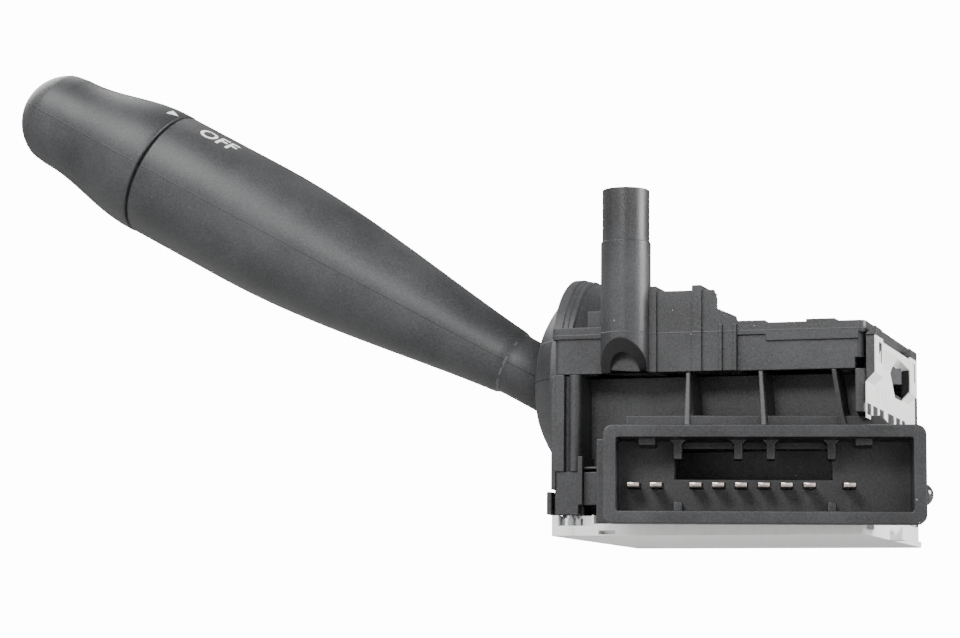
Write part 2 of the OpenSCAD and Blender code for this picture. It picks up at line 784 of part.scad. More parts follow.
// A thin web from the wall under the cover down to the flange
module gusset(x, rear, deep) {
    high = parting_z - lip_z;
    translate([x - gusset_w / 2, 0, 0]) rotate([90, 0, 90]) linear_extrude(gusset_w)
        polygon([[rear - flange_t, lip_h - wall], [deep + gusset_end, lip_h - wall],
            [deep + gusset_end, high],
            [deep - gusset_top, high],
            [rear - flange_t, lip_h + flange_rise]]);
}

// Terminals: blades that pass through the socket's back wall
blade_in = 5.8;
blade_x = [for (n = [0, 1, 2.75, 3.75, 4.75, 5.75, 6.75, 7.75, 9.5]) blade_in + n * blade_pitch];
blade_tail = 2;
blade_tip = 1;
module blades(list) {
    front = socket_d - blade_len;
    back = socket_d + socket_back + blade_tail;
    color(brass) in_connector() for (i = list) translate([blade_x[i], 0, blade_rise]) {
        plate_xz([[-blade_w / 2, -blade_t / 2], [-blade_w / 2, blade_t / 2], [blade_w / 2, blade_t / 2],
            [blade_w / 2, -blade_t / 2]], front + blade_tip, back);
        plate_xz([[-blade_w / 3, -blade_t / 3], [-blade_w / 3, blade_t / 3], [blade_w / 3, blade_t / 3],
            [blade_w / 3, -blade_t / 3]], front, front + blade_tip);
    }
}
module terminals_left() {
    blades([0, 1]);
}
module terminals_middle() {
    blades([2:7]);
}
module terminal_right() {
    blades([8]);
}

// Peg with a round head in the connector's right side
peg_y = 6;
peg_z = 6.2;
peg_root_r = 1.5;
peg_head_r = 2.4;
module locating_peg() {
    color(dark) in_connector() translate([lip_w - lip_step, peg_y, peg_z]) {
        bar_x([-peg_seat, 0, 0], peg_root_r, 2 * peg_seat);
        intersection() {
            sphere(r = peg_head_r);
            block([0, -peg_head_r, -peg_head_r], [peg_head_r, peg_head_r, peg_head_r]);
        }
    }
}

// Contact plate on the housing's floor and the rails that the turn contact wipes
plate_t = 1;
rail_bar = [12, 1.2, 0.3];
rail_y = [-6, -2, 2, 6];
plate_in = 1;
plate_x0 = boss_r + plate_in;
plate_gap = [1, 5];
plate_end = 12;
plate_x1 = right_x - wall - plate_end;
plate_y = 13;
module contact_plate() {
    color([0.45, 0.33, 0.2]) difference() {
        block([plate_x0, -plate_y, floor_z], [plate_x1, plate_y, floor_z + plate_t]);
        block([track_x - plate_gap[0], -plate_y - over, floor_z - over],
            [track_x + plate_gap[1], plate_y + over, floor_z + plate_t + over]);
    }
}
module contact_rails() {
    color(brass) for (y = rail_y)
        block([plate_x0 + plate_in, y - rail_bar[1] / 2, floor_z + plate_t],
            [plate_x0 + plate_in + rail_bar[0], y + rail_bar[1] / 2, floor_z + plate_t + rail_bar[2]]);
}

// Detent track: a curved wall about the turn axis
track_t = 3;
track_y = 12;
track_top = 26;
track_lip = 0.6;
module detent_track() {
    color(steel) difference() {
        block([track_x - track_lip, -track_y, floor_z], [track_x + track_t, track_y, track_top]);
        translate([0, 0, floor_z - over]) cylinder(h = track_top, r = plunger_reach + gap);
    }
}

// Turn carrier: a frame round the lever's hub with a pin above and below
frame_z = boss_floor_z + gap;
frame_floor = 2.4;
frame_x0 = -7;
frame_back = 8.5;
frame_top = roof_z - wall - gap;
tail_end = 22;
tail_plate = 18;
tail_y = 4.5;
tail_z0 = 16;
tail_z1 = 25;
bore_x = 13;
plunger_z = (tail_z0 + tail_z1) / 2;
module turn_carrier() {
    color(dark) difference() {
        union() {
            block([frame_x0, -carrier_y, frame_z], [frame_back + wall, carrier_y, frame_z + frame_floor]);
            for (y = [-carrier_y, carrier_y - cheek_t])
                block([frame_x0, y, frame_z], [frame_back + wall, y + cheek_t, frame_top]);
            block([frame_back, -carrier_y, frame_z], [frame_back + wall, carrier_y, frame_top]);
            block([frame_x0 + wall, -carrier_y, frame_top - wall], [frame_back + wall, carrier_y,
                frame_top]);
            block([frame_back, -tail_y, tail_z0], [tail_end, tail_y, tail_z1]);
            translate([0, 0, tray_h + gap]) cylinder(h = frame_z + over - tray_h - gap, r = trunnion_r);
            translate([0, 0, frame_top - over])
                cylinder(h = bore_top - gap - frame_top + over, r = trunnion_r);
            block([frame_back, -tail_y, frame_z], [tail_plate, tail_y, frame_z + frame_floor]);
        }
        bar_y([0, -carrier_y - over, parting_z], dip_pin_r + seat, 2 * carrier_y + 2 * over);
        bar_x([bore_x, 0, plunger_z], plunger_r + run, tail_end);
    }
}

module dip_pin() {
    color(steel) bar_y([0, -carrier_y, parting_z], dip_pin_r, 2 * carrier_y);
}

// Contact that the carrier drags over the rails
wiper_t = 0.5;
wiper_x = [3, 5, 6.5, 9];
wiper_lift = 0.1;
module turn_contact() {
    color(brass) {
        block([plate_x0 + wiper_x[0], -tail_y, frame_z - wiper_t], [plate_x0 + wiper_x[3], tail_y,
            frame_z]);
        for (y = [rail_y[1], rail_y[2]])
            block([plate_x0 + wiper_x[1], y - wiper_t, floor_z + plate_t + rail_bar[2] + wiper_lift],
                [plate_x0 + wiper_x[2], y + wiper_t, frame_z]);
    }
}

spring_wire = 0.35;
module turn_spring() {
    color(steel) translate([bore_x, 0, plunger_z]) rotate([0, 90, 0])
        coil(plunger_r - 2 * spring_wire, spring_wire, plunger_back - bore_x - plunger_travel, 3);
}

plunger_back = 17.5;
plunger_travel = 1.1;
module turn_plunger() {
    color(brass) {
        bar_x([plunger_back, 0, plunger_z], plunger_r, plunger_reach - plunger_r - plunger_back);
        translate([plunger_reach - plunger_r, 0, plunger_z]) sphere(r = plunger_r);
    }
}

// Lever sleeve: a neck that swells to the grip along a sine curve
taper_power = 1.22;
taper_steps = 18;
function sleeve_r(s) = s <= neck_end ? neck_r :
    s >= neck_end + taper_len ? grip_r :
    neck_r + (grip_r - neck_r) * sin(90 * pow((s - neck_end) / taper_len, taper_power));
sleeve_start = 27.6;
hollow_s0 = 46;
module lever_sleeve() {
    stations = [for (i = [0:taper_steps]) neck_end + taper_len * i / taper_steps];
    outside = concat([[neck_r, sleeve_start]], [for (s = stations) [sleeve_r(s), s]], [[grip_r,
        sleeve_end]]);
    inside_stations = [for (s = stations) if (s > hollow_s0) s];
    inside = concat([[0, hollow_s0 - over]], [[sleeve_r(hollow_s0) - sleeve_wall, hollow_s0 - over]],
        [for (s = inside_stations) [sleeve_r(s) - sleeve_wall, s]],
        [[grip_r - sleeve_wall, sleeve_end + over], [0, sleeve_end + over]]);
    color(dark) along_lever() difference() {
        rotate_extrude() polygon(concat([[0, sleeve_start]], outside, [[0, sleeve_end]]));
        rotate_extrude() polygon(inside);
        translate([0, 0, sleeve_start - over]) cylinder(h = hollow_s0, r = tube_r + seat);
    }
}

// Lever hub: tube, bulkhead, two cheeks on the dip pin, a tray and a finger
hub_y = carrier_y - cheek_t - gap;
hub_t = 1.5;
bulk_s0 = 12;
bulk_s1 = 15.5;
bulk_x = 6;
tray_s = 2.7;
tray_t = 1.5;
slide_past = 3.6;
slide_low = crank_r + slide_past;
hub_end = 6;
hub_ear_r = 3.2;
hub_ear_high = 2.2;
hub_side = [[-13, 22], [-15, 31.5], [-6, 0], [0, 0], [4, 0], [6.4, 24], [6.4, 15.4], [1, 15.4], [-6,
    13.8]];
cross_half = 2.2;
finger_clear = 0.6;
slide_high = 2.8;
finger_x = 4;
cross_z0 = 15.4;
cross_z1 = 18;
dimmer_finger_r = 1.2;
module lever_hub() {
    color(dark) difference() {
        union() {
            along_lever() {
                translate([0, 0, bulk_s0]) cylinder(h = neck_end + hub_end - bulk_s0, r = tube_r);
                block([-bulk_x, -hub_y, bulk_s0], [bulk_x, hub_y, bulk_s1]);
                block([-slide_low, -hub_y, tray_s - tray_t], [-slide_high, hub_y, tray_s]);
            }
            for (y = [-hub_y, hub_y - hub_t]) {
                bar_y([0, y, parting_z], hub_ear_r, hub_t);
                plate_xz([hub_side[0], hub_side[1], [hub_side[2][0], parting_z + hub_ear_high],
                    [0, parting_z + hub_ear_r], [hub_side[4][0], parting_z], hub_side[5],
                        hub_side[6], hub_side[7],
                    hub_side[8]], y, y + hub_t);
            }
            block([finger_x - cross_half, -hub_y, cross_z0], [finger_x + cross_half, hub_y, cross_z1]);
            translate([finger_x, 0, slider_z + finger_clear])
                cylinder(h = cross_z0 + over - slider_z, r = dimmer_finger_r);
        }
        bar_y([0, -hub_y - over, parting_z], dip_pin_r + run, 2 * hub_y + 2 * over);
        along_lever() translate([0, 0, bulk_s0 - over]) cylinder(h = sleeve_end, r = shaft_r + run);
    }
}

// Dust cap: a piece of a ball that closes the collar's mouth behind the lever
dust_r = collar_hollow_r - gap;
dust_angle = 35.3;
module dust_cap() {
    color(dark) difference() {
        in_collar() intersection() {
            difference() {
                sphere(r = dust_r, $fn = 96);
                sphere(r = dust_r - dust_wall, $fn = 96);
            }
            cylinder(h = collar_r, r1 = 0, r2 = collar_r * tan(dust_angle));
        }
        along_lever() cylinder(h = sleeve_end, r = neck_r + seat);
    }
}

// Bearing disc in the sleeve's open end, with a pocket for the click ball
bearing_in = [16, 6.4];
bearing_s0 = sleeve_end - bearing_in[0];
bearing_s1 = sleeve_end - bearing_in[1];
click_at = 7.2;
ball_r = 1.2;
module lever_bearing() {
    color(dark) along_lever() difference() {
        translate([0, 0, bearing_s0])
            cylinder(h = bearing_s1 - bearing_s0, r = grip_r - sleeve_wall - seat);
        translate([0, 0, bearing_s0 - over]) cylinder(h = sleeve_end, r = shaft_r + run);
        translate([click_at, 0, bearing_s0 + wall]) cylinder(h = sleeve_end, r = ball_r + seat);
    }
}
module click_ball() {
    color(steel) along_lever() translate([click_at, 0, bearing_s1 - ball_r / 2]) sphere(r = ball_r);
}
module click_spring() {
    color(steel) along_lever() translate([click_at, 0, bearing_s0 + wall])
        coil(ball_r - spring_wire - seat, spring_wire,
            bearing_s1 - 1.5 * ball_r - bearing_s0 - wall - seat, 5);
}

// Knob: flares to the joint, narrows to a waist and ends in a dome
knob_s0 = sleeve_end + knob_gap;
knob_s1 = knob_s0 + knob_len;
waist_share = 0.72;
knob_steps = 12;
knob_lead = 1.6;
// The domed end: how far its rim lies inside the waist
dome_in = 0.5;
dome_steps = 8;
hollow_share = 0.6;
spigot_in = 1.3;
spigot_lift = 0.1;
function knob_profile(u) = waist_r + (knob_r - waist_r) * (0.5 + 0.5 * cos(180 * u));
// Points of the domed end, or of the hollow that lies inside it
function dome(inside) = [for (i = [0:dome_steps]) let (a = 90 * i / dome_steps)
    [(waist_r - dome_in - inside) * cos(a), knob_s1 - dome_len + (dome_len - inside) * sin(a)]];
spigot_r = grip_r - sleeve_wall - spigot_in;
knob_plate = 2.4;
hub_boss_r = 5;
module knob_shell() {
    waist = [for (i = [0:knob_steps]) let (u = i / knob_steps)
        [knob_profile(u), knob_s0 + knob_lead + (waist_share * knob_len - knob_lead) * u]];
    color(dark) along_lever() difference() {
        union() {
            rotate_extrude() polygon(concat([[0, knob_s0], [knob_r, knob_s0]], waist, dome(0)));
            translate([0, 0, bearing_s1 + ball_r / 2 + spigot_lift])
                cylinder(h = knob_s0 - bearing_s1, r = spigot_r);
        }
        // Hollow round a central boss that holds the shaft
        difference() {
            rotate_extrude() polygon(concat(
                [[0, knob_s0 + knob_plate], [knob_r - knob_wall, knob_s0 + knob_plate]],
                [[waist_r - knob_wall, knob_s0 + hollow_share * knob_len]],
                dome(knob_wall)));
            translate([0, 0, knob_s0]) cylinder(h = knob_len * waist_share, r = hub_boss_r);
        }
        translate([0, 0, bearing_s0])
            cylinder(h = knob_s0 + knob_len / 2 - bearing_s0, r = shaft_r + seat);
    }
}

// Shaft from the knob to the hub, with a crank and a finger at its inner end
crank_s0 = 8;
crank_t = 2;
crank_w = 4.4;
knob_rest = 30;
finger_gap = 0.8;
shaft_end = 1;
module knob_shaft() {
    color(steel) along_lever() {
        translate([0, 0, crank_s0])
            cylinder(h = knob_s0 + knob_len / 2 - shaft_end - crank_s0, r = shaft_r);
        rotate([0, 0, knob_rest]) {
            block([-crank_r - finger_r, -crank_w / 2, crank_s0], [0, crank_w / 2, crank_s0 + crank_t]);
            translate([-crank_r, 0, tray_s + finger_gap])
                cylinder(h = crank_s0 + crank_t - tray_s - finger_gap, r = finger_r);
        }
    }
}

// Light slider: a fork that the crank's finger pushes across the tray
slide_y = -crank_r * sin(knob_rest);
slide_half = 3.2;
fork_play = 0.15;
slide_lift = 0.6;
slide_drop = 2;
slide_s0 = tray_s + slide_lift;
slide_s1 = crank_s0 - slide_drop;
slide_in = 0.2;
fork_deep = 0.4;
light_rail = [0.4, 1.2, 0.6, 0.25];
contact_in = [0.3, 1, 0.6];
module light_slider() {
    color(white) along_lever() translate([0, slide_y, 0]) difference() {
        block([-slide_low + slide_in, -slide_half, slide_s0], [-slide_high, slide_half, slide_s1]);
        block([-crank_r - finger_r - fork_deep, -finger_r - fork_play, slide_s0 - over],
            [0, finger_r + fork_play, slide_s1 + over]);
    }
}
module light_contact() {
    color(brass) along_lever() translate([0, slide_y, 0])
        block([-slide_low + contact_in[0], -slide_half + contact_in[1], tray_s + contact_in[0]],
            [-crank_r - finger_r - contact_in[2], slide_half - contact_in[1], slide_s0]);
}
module light_rails() {
    y = hub_y - hub_t - light_rail[0];
    color(brass) along_lever() for (x = [-slide_low + light_rail[0], -crank_r - finger_r - light_rail[1]])
        block([x, -y, tray_s], [x + light_rail[2], y, tray_s + light_rail[3]]);
}

// Dimmer slider on the carrier's floor, pushed by the hub's finger
slider_z = frame_z + frame_floor;
slider_h = 1.8;
slider_x = 2;
slider_y = 6;
dimmer_play = 0.2;
dimmer_slot = 2;
dimmer_strip = [1, 2, 0.4, 0.3];
module dimmer_slider() {
    color(white) difference() {
        block([finger_x - slider_x, -slider_y, slider_z], [finger_x + slider_x, slider_y,
            slider_z + slider_h]);
        block([finger_x - dimmer_finger_r - dimmer_play, -dimmer_slot, slider_z - over],
            [finger_x + dimmer_finger_r + dimmer_play, dimmer_slot, slider_z + slider_h + over]);
    }
}
module dimmer_contact() {
    x = slider_x - dimmer_strip[2];
    color(brass) for (y = [-slider_y + dimmer_strip[0], slider_y - dimmer_strip[0] - dimmer_strip[1]])
        block([finger_x - x, y, slider_z + slider_h],
            [finger_x + x, y + dimmer_strip[1], slider_z + slider_h + dimmer_strip[3]]);
}

// Cancel pawl behind the six-sided opening
pawl_z = parting_z;
pawl_hub_r = 4.4;
pawl_nose = 3;
pawl_shoulder_r = pawl_pin_r + over;
module cancel_pawl() {
    color(dark) translate([pawl_x, pawl_y, pawl_z]) difference() {
        union() {
            cylinder(h = pawl_t, r = pawl_hub_r);
            linear_extrude(pawl_t) polygon([[0, -pawl_hub_r], [pawl_len - pawl_nose, -2 * pawl_nose / 3],
                [pawl_len, 0], [pawl_len - pawl_nose, 2 * pawl_nose / 3], [0, pawl_hub_r]]);
        }
        translate([0, 0, -over]) cylinder(h = pawl_t + 2 * over, r = pawl_pin_r + run);
    }
}
coil_run = 0.15;
module pawl_spring() {
    color(steel) translate([pawl_x, pawl_y, pawl_z + pawl_t + gap])
        coil(pawl_shoulder_r + spring_wire + coil_run, spring_wire,
            roof_z - pawl_z - pawl_t - 2 * gap, 3);
}

main_housing();
top_cover();
base_tray();
side_rail();
connector_shell();
terminals_left();
terminals_middle();
terminal_right();
locating_peg();
base_screws();
cover_screws();
contact_plate();
contact_rails();
detent_track();
turn_carrier();
dip_pin();
turn_contact();
turn_spring();
turn_plunger();
lever_sleeve();
lever_hub();
dust_cap();
lever_bearing();
light_rails();
click_spring();
click_ball();
knob_shell();
knob_shaft();
light_slider();
light_contact();
dimmer_slider();
dimmer_contact();
cancel_pawl();
pawl_spring();
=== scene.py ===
import bpy
import bmesh
import json
import math
from mathutils import Matrix, Vector


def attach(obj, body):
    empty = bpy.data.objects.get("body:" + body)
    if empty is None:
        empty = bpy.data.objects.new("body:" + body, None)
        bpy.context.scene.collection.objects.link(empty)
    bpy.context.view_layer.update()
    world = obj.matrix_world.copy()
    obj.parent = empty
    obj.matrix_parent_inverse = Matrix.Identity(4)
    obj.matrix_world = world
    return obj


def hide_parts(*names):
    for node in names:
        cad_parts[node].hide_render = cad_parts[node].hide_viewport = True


# all places and lengths in the settings are in mm and all angles in degrees
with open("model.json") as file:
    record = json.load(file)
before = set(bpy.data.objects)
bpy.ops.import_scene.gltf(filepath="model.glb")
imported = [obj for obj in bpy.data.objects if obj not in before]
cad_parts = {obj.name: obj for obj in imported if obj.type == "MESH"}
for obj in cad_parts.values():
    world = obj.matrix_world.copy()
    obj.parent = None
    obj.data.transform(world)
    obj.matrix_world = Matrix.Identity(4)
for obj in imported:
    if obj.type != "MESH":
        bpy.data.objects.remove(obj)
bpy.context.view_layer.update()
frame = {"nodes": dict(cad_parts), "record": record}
mm = 0.001
slotOf = {s["node"]: s["material_slot"] for s in frame["record"]["subparts"]}
bodyOf = {n: b for b, names in frame["record"]["behaviour"]["bodies"].items() for n in names}
print("frame loaded,", len(frame["nodes"]), "CAD nodes")


def newObject(name, data):
    obj = bpy.data.objects.new(name, data)
    bpy.context.scene.collection.objects.link(obj)
    return obj


# the matrix of a camera or lamp that stands at one place and looks at another
def lookingAt(at, aim):
    place = Vector(at) * mm
    turn = (Vector(aim) * mm - place).to_track_quat("-Z", "Y")
    return Matrix.Translation(place) @ turn.to_matrix().to_4x4()


camera = {
    "place": (141.0, -565.6, -22.7), "aim": (-36.9, -18.0, 47.0), "roll": 0.5,
    "lens": 101.25, "sensor": 36.0, "farthest": 20000.0,
}


def makeCamera(c):
    data = bpy.data.cameras.new("photoCamera")
    data.lens = c["lens"]
    data.sensor_width = c["sensor"]
    data.clip_end = c["farthest"] * mm
    obj = newObject("photoCamera", data)
    roll = Matrix.Rotation(math.radians(c["roll"]), 4, "Z")
    obj.matrix_world = lookingAt(c["place"], c["aim"]) @ roll
    bpy.context.scene.camera = obj


makeCamera(camera)

studio = {
    "floorZ": -28.0, "floorHalf": 2500.0, "floorSquares": 4,
    "sky": 0.36, "sweep": 14.0, "bounce": 0.42, "bounceRange": 0.04,
}
lamps = {
    "key": {"at": (-320, -380, 560), "aim": (-20, 0, 40), "size": 420, "watts": 4.6},
    "fill": {"at": (420, -460, 160), "aim": (20, 0, 20), "size": 380, "watts": 0.9},
    "under": {"at": (-260, -300, -24), "aim": (-60, 0, 40), "size": 260, "watts": 0.5},
    "rim": {"at": (-420, 260, 420), "aim": (-60, 0, 60), "size": 360, "watts": 2.4},
    "front": {"at": (-40, -640, 330), "aim": (15, -30, 15), "size": 200, "watts": 2.6},
    "side": {"at": (620, 60, 200), "aim": (48, 0, 30), "size": 300, "watts": 7.0},
}


def makeLamp(name, s):
    data = bpy.data.lights.new(name, "AREA")
    data.shape = "DISK"
    data.size = s["size"] * mm
    data.energy = s["watts"]
    newObject(name, data).matrix_world = lookingAt(s["at"], s["aim"])


for lampName, lamp in lamps.items():
    makeLamp(lampName, lamp)


# a socket is linked to the input, anything else is set as its value
def feed(tree, value, socket):
    if isinstance(value, bpy.types.NodeSocket):
        tree.links.new(value, socket)
    else:
        socket.default_value = value


def mathNode(tree, kind, *values):
    n = tree.nodes.new("ShaderNodeMath")
    n.operation = kind
    for value, socket in zip(values, n.inputs):
        feed(tree, value, socket)
    return n.outputs[0]


def mapRange(tree, value, source=(0.0, 1.0), target=(0.0, 1.0)):
    n = tree.nodes.new("ShaderNodeMapRange")
    for label, number in zip(("From Min", "From Max", "To Min", "To Max"), source + target):
        n.inputs[label].default_value = number
    tree.links.new(value, n.inputs["Value"])
    return n.outputs[0]


def noiseNode(tree, vector, scale, detail=2.0, roughness=0.5):
    n = tree.nodes.new("ShaderNodeTexNoise")
    tree.links.new(vector, n.inputs["Vector"])
    for label, value in (("Scale", scale), ("Detail", detail), ("Roughness", roughness)):
        feed(tree, value, n.inputs[label])
    return n.outputs["Fac"]


def mixColour(tree, share, a, b):
    n = tree.nodes.new("ShaderNodeMix")
    n.data_type = "RGBA"
    tree.links.new(share, n.inputs["Factor"])
    colourInputs = [s for s in n.inputs if s.type == "RGBA"]
    for colour, socket in zip((a, b), colourInputs):
        feed(tree, colour + (1.0,) if isinstance(colour, tuple) else colour, socket)
    return next(s for s in n.outputs if s.type == "RGBA")


# white that camera rays see bright and every other ray dim
def whiteForCamera(tree, kind, dim, bright):
    path = tree.nodes.new("ShaderNodeLightPath")
    glow = tree.nodes.new(kind)
    glow.inputs["Color"].default_value = (1, 1, 1, 1)
    level = mapRange(tree, path.outputs["Is Camera Ray"], target=(dim, bright))
    tree.links.new(level, glow.inputs["Strength"])
    return glow.outputs[0]


def makeSky():
    world = bpy.data.worlds.new("studioSky")
    world.use_nodes = True
    tree = world.node_tree
    tree.nodes.clear()
    out = tree.nodes.new("ShaderNodeOutputWorld")
    glow = whiteForCamera(tree, "ShaderNodeBackground", studio["sky"], studio["sweep"])
    tree.links.new(glow, out.inputs[0])
    bpy.context.scene.world = world


makeSky()
print("camera, lights and sky set")


def newGroup(name, ins, outs):
    group = bpy.data.node_groups.new(name, "ShaderNodeTree")
    for inOut, labels in (("INPUT", ins), ("OUTPUT", outs)):
        for label, kind in labels.items():
            group.interface.new_socket(name=label, in_out=inOut, socket_type="NodeSocket" + kind)
    return group, group.nodes.new("NodeGroupInput").outputs, group.nodes.new("NodeGroupOutput").inputs


# the fine pebble that a sparked mould leaves, and a slower change of tone
grain = {"detail": 2.0, "roughness": 0.6, "toneDetail": 3.0, "toneShare": 0.03}


def makeGrainGroup():
    g = grain
    group, given, result = newGroup("mouldGrain", {"Vector": "Vector", "Size": "Float"},
                                    {"Height": "Float", "Tone": "Float"})
    fine = noiseNode(group, given["Vector"], given["Size"], g["detail"], g["roughness"])
    slow = mathNode(group, "MULTIPLY", given["Size"], g["toneShare"])
    coarse = noiseNode(group, given["Vector"], slow, g["toneDetail"])
    group.links.new(fine, result["Height"])
    group.links.new(coarse, result["Tone"])
    return group


# sparse pale specks of dust, in patches
dust = {"size": 430.0, "patchSize": 90.0, "patchFrom": 0.56}


def makeDustGroup():
    group, given, result = newGroup(
        "dustSpecks", {"Vector": "Vector", "Size": "Float", "Reach": "Float"}, {"Mask": "Float"})
    cells = group.nodes.new("ShaderNodeTexVoronoi")
    group.links.new(given["Vector"], cells.inputs["Vector"])
    group.links.new(given["Size"], cells.inputs["Scale"])
    patches = noiseNode(group, given["Vector"], dust["patchSize"])
    near = mathNode(group, "LESS_THAN", cells.outputs["Distance"], given["Reach"])
    there = mathNode(group, "GREATER_THAN", patches, dust["patchFrom"])
    group.links.new(mathNode(group, "MULTIPLY", near, there), result["Mask"])
    return group


# a thin band along the plane at Offset along Across, where the mould's halves met
seam = {"half": 0.13, "fade": (1.0, 0.4), "share": 0.85, "groove": 1.6}


def makeSeamGroup():
    group, given, result = newGroup(
        "mouldSeam", {"Vector": "Vector", "Across": "Vector", "Offset": "Float", "Half Width": "Float"},
        {"Mask": "Float"})
    dot = group.nodes.new("ShaderNodeVectorMath")
    dot.operation = "DOT_PRODUCT"
    group.links.new(given["Vector"], dot.inputs[0])
    group.links.new(given["Across"], dot.inputs[1])
    away = mathNode(group, "SUBTRACT", dot.outputs["Value"], given["Offset"])
    halves = mathNode(group, "DIVIDE", mathNode(group, "ABSOLUTE", away), given["Half Width"])
    group.links.new(mapRange(group, halves, source=seam["fade"]), result["Mask"])
    return group


grainGroup = makeGrainGroup()
seamGroup = makeSeamGroup()
dustGroup = makeDustGroup()


def placeGroup(tree, group, vector, values):
    n = tree.nodes.new("ShaderNodeGroup")
    n.node_tree = group
    tree.links.new(vector, n.inputs["Vector"])
    for label, value in values.items():
        n.inputs[label].default_value = value
    return n.outputs


def bandMask(tree, vector, across, offset, half):
    values = {"Across": across, "Offset": offset * mm, "Half Width": half * mm}
    return placeGroup(tree, seamGroup, vector, values)["Mask"]


# what all finishes share: how tone and grain mix, the torn rim, and painted shade on downward faces
recipe = {
    "toneShare": 0.45, "grainShare": 0.55, "speckle": (0.36, 0.66), "bump": 0.6, "ior": 1.5,
    "flashHalf": 0.32, "tornSize": 520.0, "tornFrom": 0.5, "below": (-0.2, -0.65),
}


# One recipe for every moulded plastic, metal and board: two tones, a roughness range and grain.
# seam is (across, offset, tone), flash is (across, offset, colour), dust is (reach, colour), and
# the tone for faces that look down is painted shade, a darker colour for the light they don't get
def finish(name, dark, light, rough, grainSize, grainHeight, metallic=0.0, coat=0.0, stretch=None,
           seamLine=None, flash=None, specks=None, belowTone=None):
    k = recipe
    mat = bpy.data.materials.new(name)
    mat.use_nodes = True
    tree = mat.node_tree
    tree.nodes.clear()
    out = tree.nodes.new("ShaderNodeOutputMaterial")
    shader = tree.nodes.new("ShaderNodeBsdfPrincipled")
    tree.links.new(shader.outputs[0], out.inputs[0])
    place = tree.nodes.new("ShaderNodeTexCoord").outputs["Object"]
    vector = place
    if stretch:
        mapping = tree.nodes.new("ShaderNodeMapping")
        mapping.inputs["Scale"].default_value = stretch
        tree.links.new(place, mapping.inputs["Vector"])
        vector = mapping.outputs["Vector"]
    pebble = placeGroup(tree, grainGroup, vector, {"Size": grainSize})
    height = pebble["Height"]
    tone = mathNode(tree, "MULTIPLY", pebble["Tone"], k["toneShare"])
    speckle = mathNode(tree, "ADD", tone, mathNode(tree, "MULTIPLY", height, k["grainShare"]))
    colour = mixColour(tree, mapRange(tree, speckle, source=k["speckle"]), dark, light)
    if seamLine:
        across, offset, seamTone = seamLine
        line = bandMask(tree, place, across, offset, seam["half"])
        share = mathNode(tree, "MULTIPLY", line, seam["share"])
        colour = mixColour(tree, share, colour, tuple(seamTone * c for c in dark))
        height = mathNode(tree, "ADD", height, mathNode(tree, "MULTIPLY", line, seam["groove"]))
    if flash:
        across, offset, flashColour = flash
        torn = mathNode(tree, "GREATER_THAN", noiseNode(tree, place, k["tornSize"]), k["tornFrom"])
        line = bandMask(tree, place, across, offset, k["flashHalf"])
        ragged = mathNode(tree, "MULTIPLY", line, torn)
        colour = mixColour(tree, ragged, colour, flashColour)
    if specks:
        reach, speckColour = specks
        there = placeGroup(tree, dustGroup, place, {"Size": dust["size"], "Reach": reach})["Mask"]
        colour = mixColour(tree, there, colour, speckColour)
    # painted shade: faces whose normals look down are mixed towards a darker tone, for light they don't
    # get
    if belowTone:
        parts = tree.nodes.new("ShaderNodeSeparateXYZ")
        tree.links.new(tree.nodes.new("ShaderNodeNewGeometry").outputs["Normal"], parts.inputs[0])
        below = mapRange(tree, parts.outputs["Z"], source=k["below"])
        colour = mixColour(tree, below, colour, tuple(belowTone * c for c in dark))
    bump = tree.nodes.new("ShaderNodeBump")
    bump.inputs["Strength"].default_value = k["bump"]
    bump.inputs["Distance"].default_value = grainHeight * mm
    tree.links.new(height, bump.inputs["Height"])
    roughness = mapRange(tree, pebble["Tone"], target=rough)
    for label, value in (("Base Color", colour), ("Roughness", roughness), ("IOR", k["ior"]),
                         ("Normal", bump.outputs[0]), ("Metallic", metallic), ("Coat Weight", coat)):
        feed(tree, value, shader.inputs[label])
    return mat


# the lever's axis: how high it leaves the casing, how steeply it rises, and where along it the
# sleeve's flash was torn off
lever = {"axisZ": 20.4, "rise": 28.4, "flashAt": 39.4}
riseSin = math.sin(math.radians(lever["rise"]))
riseCos = math.cos(math.radians(lever["rise"]))
leverPlace = (Matrix.Translation((0, 0, lever["axisZ"] * mm))
              @ Matrix.Rotation(math.radians(lever["rise"] - 90.0), 4, "Y"))

# the lever's mould parted on the plane through its axis that faces the front and the back,
# and the torn rim lies across the axis
leverSeam = ((riseSin, 0.0, riseCos), lever["axisZ"] * riseCos, 0.12)
neckFlash = ((-riseCos, 0.0, riseSin), lever["axisZ"] * riseSin + lever["flashAt"],
             (0.085, 0.085, 0.087))

